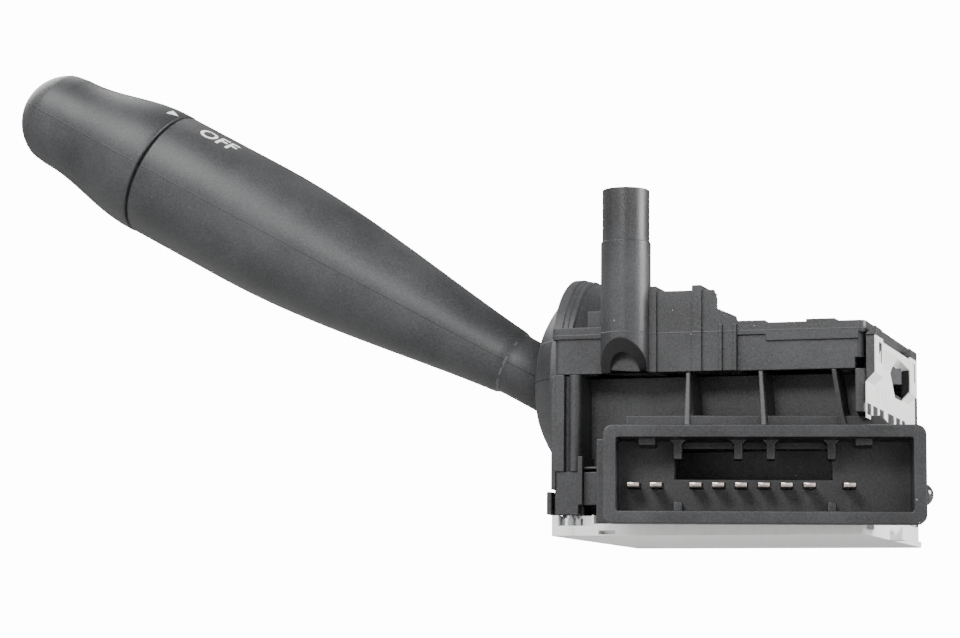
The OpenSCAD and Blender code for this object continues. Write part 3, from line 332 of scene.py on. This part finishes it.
looks = {
    # the casing gets painted shade on its faces that look down
    "casing_plastic": finish(
        "satinCasing", (0.012, 0.012, 0.013), (0.042, 0.043, 0.046), (0.36, 0.52), 2600.0, 0.05,
        seamLine=((0.0, 0.0, 1.0), 41.66, 5.0), specks=(0.055, (0.4, 0.4, 0.4)), belowTone=0.2),
    "lever_plastic": finish(
        "satinLever", (0.017, 0.018, 0.019), (0.05, 0.051, 0.053), (0.42, 0.54), 2400.0, 0.03,
        seamLine=leverSeam, flash=neckFlash, specks=(0.03, (0.22, 0.22, 0.22))),
    "inner_plastic": finish(
        "plainInner", (0.05, 0.05, 0.055), (0.08, 0.08, 0.085), (0.35, 0.5), 1500.0, 0.02),
    "white_nylon": finish(
        "naturalNylon", (0.84, 0.84, 0.82), (0.93, 0.93, 0.92), (0.38, 0.52), 900.0, 0.02),
    "gloss_peg": finish(
        "glossPeg", (0.02, 0.02, 0.022), (0.035, 0.035, 0.037), (0.12, 0.2), 900.0, 0.005, coat=0.4),
    "tinned_terminals": finish(
        "tinnedBlade", (0.62, 0.5, 0.46), (0.8, 0.72, 0.68), (0.22, 0.38), 1800.0, 0.01,
        metallic=1.0, stretch=(1.0, 0.12, 1.0)),
    "contact_brass": finish(
        "rolledBrass", (0.55, 0.4, 0.18), (0.78, 0.6, 0.32), (0.25, 0.4), 1600.0, 0.01, metallic=1.0),
    "bright_steel": finish(
        "platedSteel", (0.5, 0.51, 0.53), (0.72, 0.73, 0.75), (0.2, 0.36), 1500.0, 0.008, metallic=1.0),
    "laminate": finish(
        "paperBoard", (0.2, 0.11, 0.05), (0.34, 0.2, 0.1), (0.5, 0.65), 1200.0, 0.02),
}
printWhite = finish("padPrint", (0.72, 0.73, 0.72), (0.86, 0.87, 0.86), (0.5, 0.6), 3600.0, 0.01)
floorPaper = finish("palePaper", (studio["bounce"],) * 3,
                    (studio["bounce"] + studio["bounceRange"],) * 3, (0.7, 0.85), 200.0, 0.02)


def brightenForCamera(mat, bright):
    tree = mat.node_tree
    glow = whiteForCamera(tree, "ShaderNodeEmission", 0.0, bright)
    both = tree.nodes.new("ShaderNodeAddShader")
    out = next(n for n in tree.nodes if n.type == "OUTPUT_MATERIAL")
    tree.links.new(out.inputs[0].links[0].from_socket, both.inputs[0])
    tree.links.new(glow, both.inputs[1])
    tree.links.new(both.outputs[0], out.inputs[0])


brightenForCamera(floorPaper, studio["sweep"])
print("materials made:", len(looks) + 2)

for nodeName, nodeObj in frame["nodes"].items():
    if not nodeObj.material_slots:
        nodeObj.data.materials.append(looks[slotOf[nodeName]])
    for s in nodeObj.material_slots:
        s.material = looks[slotOf[nodeName]]


def meshObject(name, bm, material):
    data = bpy.data.meshes.new(name)
    bm.to_mesh(data)
    bm.free()
    data.materials.append(material)
    return newObject(name, data)


# a piece that belongs with a CAD node: it rides the node's body, has its slot, and may replace it
def makePiece(name, bm, nodeName, replaces=False, material=None):
    slotName = slotOf[nodeName]
    obj = meshObject(name, bm, material or looks[slotName])
    if replaces:
        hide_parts(nodeName)
    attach(obj, bodyOf[nodeName])
    return obj


def makeFloor():
    squares = studio["floorSquares"]
    bm = bmesh.new()
    bmesh.ops.create_grid(bm, x_segments=squares, y_segments=squares, size=studio["floorHalf"] * mm)
    bmesh.ops.translate(bm, vec=(0, 0, studio["floorZ"] * mm), verts=bm.verts)
    meshObject("paleFloor", bm, floorPaper)


makeFloor()

# shared by all meshes: welding distances in metres, and angles in degrees
shaping = {
    "weld": 1e-6, "cadWeld": 2e-6, "cut": 1e-7, "flat": 0.6, "bevelSteps": 2,
    "barCorner": 28.6, "copyCorner": 32.0, "rimCrease": 25.0, "copyCrease": 38.0, "turnSteps": 128,
}


def joined(verts, closed):
    return list(zip(verts, verts[1:] + (verts[:1] if closed else [])))


# turns an outline fully round an axis into a closed skin
def spinOutline(bm, verts, closed, steps, centre=(0, 0, 0), axis=(0, 0, 1)):
    sides = [bm.edges.new(pair) for pair in joined(verts, closed)]
    bmesh.ops.spin(bm, geom=verts + sides, cent=centre, axis=axis, angle=math.tau, steps=steps,
                   use_merge=True)
    bmesh.ops.remove_doubles(bm, verts=bm.verts, dist=shaping["weld"])
    bmesh.ops.recalc_face_normals(bm, faces=bm.faces)


def raiseFaces(bm, faces, vec):
    grown = bmesh.ops.extrude_face_region(bm, geom=faces)["geom"]
    bmesh.ops.translate(bm, vec=vec, verts=[g for g in grown if isinstance(g, bmesh.types.BMVert)])


def roundCorners(bm, width, sharpFrom, clamp):
    limit = math.radians(sharpFrom)
    corners = [e for e in bm.edges
               if e.is_manifold and e.is_convex and e.calc_face_angle(0.0) > limit]
    bmesh.ops.bevel(bm, geom=corners, offset=width * mm, offset_type="OFFSET", affect="EDGES",
                    segments=shaping["bevelSteps"], profile=0.5, material=-1, clamp_overlap=clamp)


def smoothBelow(bm, crease):
    for e in bm.edges:
        e.smooth = not (e.is_manifold and e.calc_face_angle(0.0) > math.radians(crease))
    for f in bm.faces:
        f.smooth = True


# a profile of (radius, along), turned round the lever's axis; it stands in for a CAD node
def makeTurned(name, profile, nodeName):
    bm = bmesh.new()
    verts = [bm.verts.new((r * mm, 0.0, s * mm)) for r, s in profile]
    spinOutline(bm, verts, False, shaping["turnSteps"])
    bmesh.ops.transform(bm, matrix=leverPlace, verts=bm.verts)
    makePiece(name, bm, nodeName, replaces=True).data.shade_smooth()


# the sleeve swells from its neck to the grip; flashStep is the short step in the neck, where the
# hard core shows behind the sleeve's flash
sleeve = {
    "start": 27.6, "end": 136.0, "neckEnd": 38.0, "taper": 74.0, "neckR": 7.25, "gripR": 14.7,
    "power": 1.22, "stations": 60, "flashStep": 0.38, "edge": 0.35, "edgeCut": 0.1,
    "wall": 2.0, "floor": 121.0,
}


def sleeveRadius(s):
    k = sleeve
    share = min(max((s - k["neckEnd"]) / k["taper"], 0.0), 1.0)
    return k["neckR"] + (k["gripR"] - k["neckR"]) * math.sin(0.5 * math.pi * share ** k["power"])


def makeSleeve():
    k = sleeve
    places = [k["start"]] + [k["neckEnd"] + k["taper"] * i / k["stations"]
                             for i in range(k["stations"] + 1)]
    outside = [(sleeveRadius(s) - (k["flashStep"] if s < lever["flashAt"] else 0.0), s)
               for s in places]
    tip = [(k["gripR"], k["end"] - k["edge"]), (k["gripR"] - k["edgeCut"], k["end"] - k["edgeCut"]),
           (k["gripR"] - k["edge"], k["end"])]
    bore = k["gripR"] - k["wall"]
    inside = [(bore, k["end"]), (bore, k["floor"]), (0.0, k["floor"])]
    makeTurned("leverGrip", [(0.0, k["start"])] + outside + tip + inside, "lever_sleeve")


# the knob narrows from its joint flare to a waist and ends in a cap of a ball, which meets the
# waist at a soft corner; the low step on its face keeps light out of the joint
knob = {
    "start": 136.6, "length": 39.2, "r": 14.85, "edge": 0.35, "edgeCut": 0.1, "stepR": 13.6,
    "stepHeight": 0.52, "waist": 11.1, "waistShare": 0.72, "lead": 1.6, "stations": 28,
    "capLength": 7.4, "capRim": 10.6, "capCorner": (0.1, 0.5), "capSteps": 16,
}


def makeKnob():
    k = knob
    s0 = k["start"]
    s1 = s0 + k["length"]
    step = s0 - k["stepHeight"]
    profile = [(0.0, step), (k["stepR"], step), (k["stepR"], s0), (k["r"] - k["edge"], s0),
               (k["r"] - k["edgeCut"], s0 + k["edgeCut"]), (k["r"], s0 + k["edge"])]
    for i in range(k["stations"] + 1):
        share = i / k["stations"]
        r = k["waist"] + (k["r"] - k["waist"]) * (0.5 + 0.5 * math.cos(math.pi * share))
        profile.append((r, s0 + k["lead"] + (k["waistShare"] * k["length"] - k["lead"]) * share))
    wider, lower = k["capCorner"]
    profile.append((k["capRim"] + wider, s1 - k["capLength"] - lower))
    ball = (k["capRim"] ** 2 + k["capLength"] ** 2) / (2 * k["capLength"])
    rimAngle = math.asin(k["capRim"] / ball)
    for i in range(k["capSteps"] + 1):
        a = rimAngle * (1 - i / k["capSteps"])
        profile.append((ball * math.sin(a), s1 - ball + ball * math.cos(a)))
    makeTurned("lightKnob", profile, "knob_shell")


makeSleeve()
makeKnob()
print("lever and knob made")

# pad print: letters on the sleeve and a pointer on the knob; start and tip are along the lever,
# baseline and angle round it, and the print is cut into strips so that it can bend
lettering = {
    "text": "OFF", "wide": 9.9, "high": 3.8, "start": 130.0, "baseline": 33.0,
    "bold": 0.022, "spacing": 1.04,
}
pointer = {"tip": 137.15, "length": 2.55, "wide": 2.8, "angle": 23.5}
padPrint = {"lift": 0.015, "thick": 0.03, "strip": 0.35}


def flatText(k):
    curve = bpy.data.curves.new("printOutline", "FONT")
    curve.body = k["text"]
    curve.offset = k["bold"]
    curve.space_character = k["spacing"]
    obj = newObject("printOutline", curve)
    bpy.context.view_layer.update()
    seen = obj.evaluated_get(bpy.context.evaluated_depsgraph_get())
    data = bpy.data.meshes.new_from_object(seen)
    bpy.data.objects.remove(obj)
    bm = bmesh.new()
    bm.from_mesh(data)
    bpy.data.meshes.remove(data)
    xs = [v.co.x for v in bm.verts]
    ys = [v.co.y for v in bm.verts]
    size = (k["wide"] * mm / (max(xs) - min(xs)), k["high"] * mm / (max(ys) - min(ys)), 1)
    bmesh.ops.translate(bm, vec=(-min(xs), -min(ys), 0), verts=bm.verts)
    bmesh.ops.scale(bm, vec=size, verts=bm.verts)
    return bm


def flatPointer(k):
    bm = bmesh.new()
    corners = ((0.0, 0.0), (-k["length"], 0.5 * k["wide"]), (-k["length"], -0.5 * k["wide"]))
    bm.faces.new([bm.verts.new((x * mm, y * mm, 0.0)) for x, y in corners])
    return bm


# lays a flat print round the lever: its +X runs towards the casing, its +Y up round the lever
def wrapPrint(bm, name, start, angle, radius, nodeName):
    k = padPrint
    bmesh.ops.remove_doubles(bm, verts=bm.verts, dist=shaping["weld"])
    high = max(v.co.y for v in bm.verts)
    y = min(v.co.y for v in bm.verts) + k["strip"] * mm
    while y < high:
        bmesh.ops.bisect_plane(bm, geom=bm.verts[:] + bm.edges[:] + bm.faces[:], plane_co=(0, y, 0),
                               plane_no=(0, 1, 0), dist=shaping["cut"])
        y += k["strip"] * mm
    raiseFaces(bm, bm.faces[:], (0, 0, k["thick"] * mm))
    for v in bm.verts:
        turn = math.radians(angle) - v.co.y / (radius * mm)
        out = (radius + k["lift"]) * mm + v.co.z
        v.co = (out * math.cos(turn), -out * math.sin(turn), start * mm - v.co.x)
    bmesh.ops.transform(bm, matrix=leverPlace, verts=bm.verts)
    bmesh.ops.recalc_face_normals(bm, faces=bm.faces)
    makePiece(name, bm, nodeName, material=printWhite)


wrapPrint(flatText(lettering), "offLetters", lettering["start"], lettering["baseline"],
          sleeve["gripR"], "lever_sleeve")
wrapPrint(flatPointer(pointer), "knobPointer", pointer["tip"], pointer["angle"], knob["r"],
          "knob_shell")
print("print made")


# a flat plate with holes, drawn in y and z and grown from x0 to x1
def plateWithHoles(bm, outline, holes, x0, x1):
    borders = []
    for loop in (outline,) + tuple(holes):
        verts = [bm.verts.new((x0 * mm, y * mm, z * mm)) for y, z in loop]
        borders += [bm.edges.new(pair) for pair in joined(verts, True)]
    made = bmesh.ops.triangle_fill(bm, use_beauty=True, use_dissolve=False, edges=borders,
                                   normal=(1, 0, 0))
    faces = [g for g in made["geom"] if isinstance(g, bmesh.types.BMFace)]
    raiseFaces(bm, faces, ((x1 - x0) * mm, 0, 0))


# a bar whose outline in x and z may change between its stations along y
def stationBar(bm, stations):
    rings = [[bm.verts.new((x * mm, y * mm, z * mm)) for x, z in outline]
             for y, outline in stations]
    loops = [[bm.edges.new(pair) for pair in joined(ring, True)] for ring in rings]
    for one, two in zip(loops, loops[1:]):
        bmesh.ops.bridge_loops(bm, edges=one + two)
    bm.faces.new(rings[0])
    bm.faces.new(rings[-1])


def rectangle(a, b):
    return ((a[0], b[0]), (a[1], b[0]), (a[1], b[1]), (a[0], b[1]))


def block(bm, box):
    stationBar(bm, [(y, rectangle(box["x"], box["z"])) for y in box["y"]])


def finishedBars(bm, name, width, nodeName, replaces=False):
    bmesh.ops.recalc_face_normals(bm, faces=bm.faces)
    roundCorners(bm, width, shaping["barCorner"], True)
    makePiece(name, bm, nodeName, replaces)


# The side rail's white skin: a thin wall with windows, two open loops and a guide strip between
# them. Outlines are (y, z) on the casing's right side and x runs outwards. guide is (y, foot, lip)
# and ribProfile is (x from the wall's face, z)
rail = {
    "wall": (47.9, 48.16), "skin": 0.3, "sunk": 0.1, "bevel": 0.06,
    "outline": ((-27.95, 23.4), (-27.95, 30.7), (-19.6, 33.0), (-19.6, 39.4), (26.2, 40.3),
                (34.0, 40.3), (34.0, 4.4), (-11.9, 4.4), (-11.9, 23.4)),
    "windows": ((-27.6, -22.6), (-20.6, -14.7), (-12.6, -7.2), (-2.4, 5.8), (8.0, 13.8), (15.8, 20.6)),
    "windowZ": (24.2, 26.5),
    "view": ((1.0, 35.2), (3.9, 37.1), (17.6, 37.1), (17.6, 30.7), (7.0, 30.5), (2.9, 33.8)),
    "loops": ((-27.6, -18.8), (16.2, 25.6)), "loopX": 50.0, "loopZ": (32.4, 40.2), "foot": 30.7,
    "slots": ((-23.8, -19.9), (19.4, 23.3)), "slotZ": (35.1, 39.2),
    "guide": ((-18.9, 35.0, 38.4), (0.5, 35.3, 38.3), (3.7, 37.15, 38.2), (12.4, 37.15, 37.6),
              (16.3, 37.15, 37.3)),
    "guideX": 49.85, "guideTop": 39.7,
    "ribs": (-17.2, -14.2, -9.6, -5.3), "ribWide": 0.8,
    "ribProfile": ((-0.05, 27.2), (0.12, 27.5), (0.12, 30.6), (-0.05, 34.2)),
}


def makeRail():
    k = rail
    inner, outer = k["wall"]
    root = outer - k["sunk"]
    x, low = k["loopX"], k["loopZ"][0]
    bm = bmesh.new()
    windows = [rectangle(w, k["windowZ"]) for w in k["windows"]]
    plateWithHoles(bm, k["outline"], windows + [k["view"]], inner, outer)
    for loopY, slotY in zip(k["loops"], k["slots"]):
        plateWithHoles(bm, rectangle(loopY, k["loopZ"]), [rectangle(slotY, k["slotZ"])],
                       x - k["skin"], x)
        foot = [(x, low), (x - k["skin"], low + k["skin"]), (root, k["foot"] + k["skin"]),
                (root, k["foot"])]
        stationBar(bm, [(y, foot) for y in loopY])
    stationBar(bm, [(y, [(root, foot), (k["guideX"], lip), (k["guideX"], k["guideTop"]),
                         (root, k["guideTop"])]) for y, foot, lip in k["guide"]])
    for y in k["ribs"]:
        rib = [(outer + away, z) for away, z in k["ribProfile"]]
        stationBar(bm, [(y, rib), (y + k["ribWide"], rib)])
    finishedBars(bm, "railSkin", k["bevel"], "side_rail", replaces=True)


# The cover's dark clips, which the rail's loops close over. start and end are along y from the
# loop's ends, the clip is slimmer behind its head, and a cap stands over each loop
clips = {
    "play": 0.02, "slimmer": 0.9, "lift": 0.35, "start": 0.45, "head": (2.5, 3.0), "end": 0.1,
    "caps": ((-27.4, -20.2), (16.6, 25.2)), "bevel": 0.12,
    "capProfile": ((47.9, 40.25), (50.1, 40.25), (50.1, 41.9), (49.75, 42.2), (49.3, 41.9),
                   (48.7, 41.15), (47.9, 40.5)),
}


def makeClips():
    k = clips
    inner = rail["wall"][0]
    low, high = rail["loopZ"]
    reach = rail["loopX"] - rail["skin"] - k["play"]
    full, slim = [((inner, rail["foot"] + k["lift"]), (x, low + k["lift"]), (x, high), (inner, high))
                  for x in (reach, reach - k["slimmer"])]
    bm = bmesh.new()
    for (y0, y1), capY in zip(rail["loops"], k["caps"]):
        stationBar(bm, [(y0 + k["start"], full), (y0 + k["head"][0], full), (y0 + k["head"][1], slim),
                        (y1 - k["end"], slim)])
        stationBar(bm, [(y, k["capProfile"]) for y in capY])
    finishedBars(bm, "coverClips", k["bevel"], "top_cover")


# thin webs from the flange up to the cover's front edge: (x at the foot, x at the top, y at the
# foot); half and z are given for the foot and for the top
tallWebs = {
    "places": ((12.2, 11.3, -32.9), (27.5, 26.4, -29.6), (43.1, 41.4, -26.3)),
    "half": (0.6, 0.45), "z": (20.9, 33.46), "front": -27.75, "back": -12.1, "bevel": 0.18,
}


def makeTallWebs():
    k = tallWebs
    bm = bmesh.new()
    for foot, top, y in k["places"]:
        for v in bmesh.ops.create_cube(bm, size=2.0)["verts"]:
            up = v.co.z > 0
            x = (top if up else foot) + v.co.x * k["half"][up]
            front = k["front"] if up else y
            v.co = Vector((x, k["back"] if v.co.y > 0 else front, k["z"][up])) * mm
    finishedBars(bm, "flangeWebs", k["bevel"], "connector_shell")


# the tray's front edge stands up to the socket
trayFront = {"x": (-8.9, 47.7), "y": (-28.0, -26.4), "z": (1.1, 2.48), "bevel": 0.12}


def makeTrayFront():
    bm = bmesh.new()
    block(bm, trayFront)
    finishedBars(bm, "trayFrontEdge", trayFront["bevel"], "base_tray")


# the collar's two raised rims, as (x, radius) from the outside in
collarRims = {
    "centre": 33.5, "steps": 120,
    "profile": ((-19.75, 20.6), (-19.75, 23.15), (-19.5, 23.4), (-17.75, 23.4), (-17.5, 23.15),
                (-17.45, 22.2), (-17.0, 22.2), (-16.95, 22.75), (-16.7, 22.95), (-15.6, 22.95),
                (-15.4, 22.7), (-15.35, 20.6)),
}


def makeCollarRims():
    k = collarRims
    bm = bmesh.new()
    verts = [bm.verts.new((x * mm, 0.0, (k["centre"] + r) * mm)) for x, r in k["profile"]]
    spinOutline(bm, verts, True, k["steps"], centre=(0, 0, k["centre"] * mm), axis=(1, 0, 0))
    smoothBelow(bm, shaping["rimCrease"])
    makePiece("collarRims", bm, "top_cover")


# the strip and the lug at the casing's left edge
casingEdge = {
    "strip": {"x": (-17.95, -16.9), "y": (-27.9, -24.0), "z": (9.6, 33.2)},
    "lug": {"x": (-19.0, -17.9), "y": (-27.4, -20.5), "z": (4.45, 9.2)},
    "bevel": 0.2,
}


def makeCasingEdge():
    bm = bmesh.new()
    block(bm, casingEdge["strip"])
    block(bm, casingEdge["lug"])
    finishedBars(bm, "casingEdge", casingEdge["bevel"], "main_housing")


# Small changes of form on the copies of CAD nodes: each function takes a vertex's place in mm and
# gives the new one. The collar is a ball of radius ball, 1 mm smaller than its solid
collar = {
    "centre": 33.5, "side": -18.0, "solidRing": 24.0, "ringNear": 0.25, "near": 0.05,
    "ball": 29.0, "hollow": 28.0, "thinner": 0.5,
}


def rounderCollar(p):
    k = collar
    up = p.z - k["centre"]
    ring = math.hypot(p.y, up)
    away = math.hypot(p.x, p.y, up)
    if abs(p.x - k["side"]) < k["near"] and abs(ring - k["solidRing"]) < k["ringNear"]:
        scale = math.sqrt(k["ball"] ** 2 - k["side"] ** 2) / k["solidRing"]
        return Vector((p.x, p.y * scale, k["centre"] + up * scale))
    if p.x < k["side"] - k["near"] and away > k["hollow"] + k["near"]:
        scale = (k["hollow"] + k["thinner"] * (away - k["hollow"])) / away
        return Vector((p.x * scale, p.y * scale, k["centre"] + up * scale))
    return p


# the raised block's right side and its ramp run back at a slant
blockSide = {"x": (16.5, 22.0), "z": 43.2, "front": -28.0, "back": -13.9, "depth": 14.0, "slant": 2.6}


def shapeCover(p):
    k = blockSide
    if k["x"][0] < p.x < k["x"][1] and p.z > k["z"] and k["front"] < p.y < k["back"]:
        back = (p.y - k["front"]) / k["depth"]
        return Vector((p.x - k["slant"] * back, p.y, p.z))
    return rounderCollar(p)


# the column at the casing's right front corner ends a little higher than in its solid
columnFoot = {"x": 42.0, "y": -20.0, "was": 23.5, "near": 0.06, "now": 24.6}


def shapeHousing(p):
    k = columnFoot
    if p.x > k["x"] and p.y < k["y"] and abs(p.z - k["was"]) < k["near"]:
        return Vector((p.x, p.y, k["now"]))
    return rounderCollar(p)


# in the socket's own frame: the flange behind the lip stands higher and ends sooner at the right,
# and its webs, as (x, move), sit further right
socket = {
    "at": (-1.8, -46.0, 1.7), "turn": 12.0, "behind": 11.0,
    "webs": ((15.36, 1.73), (29.44, 3.07), (44.16, 3.84)), "webHalf": 0.65, "webZ": 17.7,
    "endX": 58.0, "endZ": 20.0, "sooner": 3.2, "top": 21.2, "near": 0.06, "higher": 1.4,
}
socketPlace = Matrix.Translation(socket["at"]) @ Matrix.Rotation(math.radians(socket["turn"]), 4, "Z")


def shapeSocket(p):
    k = socket
    q = socketPlace.inverted() @ p
    if q.y > k["behind"] and q.z > k["webZ"]:
        q.x += next((move for at, move in k["webs"] if abs(q.x - at) < k["webHalf"]), 0.0)
    if q.x > k["endX"] and q.y > k["behind"] and q.z > k["endZ"]:
        q.x -= k["sooner"]
    if abs(q.z - k["top"]) < k["near"]:
        q.z += k["higher"]
    return socketPlace @ q


# a copy of a CAD node: triangles merged, flats joined, outer edges rounded
def roundedCopy(nodeName, name, width, shape):
    bm = bmesh.new()
    bm.from_mesh(frame["nodes"][nodeName].data)
    bmesh.ops.remove_doubles(bm, verts=bm.verts, dist=shaping["cadWeld"])
    if shape:
        for v in bm.verts:
            v.co = shape(v.co / mm) * mm
    bmesh.ops.dissolve_limit(bm, angle_limit=math.radians(shaping["flat"]), verts=bm.verts,
                             edges=bm.edges, use_dissolve_boundaries=False, delimit=set())
    roundCorners(bm, width, shaping["copyCorner"], False)
    smoothBelow(bm, shaping["copyCrease"])
    even = makePiece(name, bm, nodeName, replaces=True).modifiers.new("evenNormals", "WEIGHTED_NORMAL")
    even.keep_sharp = True
    even.mode = "FACE_AREA"


# CAD node: (name of the copy, width of the rounded edges, change of form)
copies = {
    "main_housing": ("housingShell", 0.25, shapeHousing),
    "top_cover": ("coverShell", 0.22, shapeCover),
    "connector_shell": ("socketShell", 0.36, shapeSocket),
    "base_tray": ("trayShell", 0.12, None),
    "terminals_left": ("leftBlades", 0.1, None),
    "terminals_middle": ("middleBlades", 0.1, None),
    "terminal_right": ("rightBlade", 0.1, None),
}
for nodeName, (copyName, width, shape) in copies.items():
    roundedCopy(nodeName, copyName, width, shape)
print("rounded copies made:", len(copies))

makeRail()
makeClips()
makeTallWebs()
makeTrayFront()
makeCollarRims()
makeCasingEdge()
print("rail, clips, webs, edges and rims made")
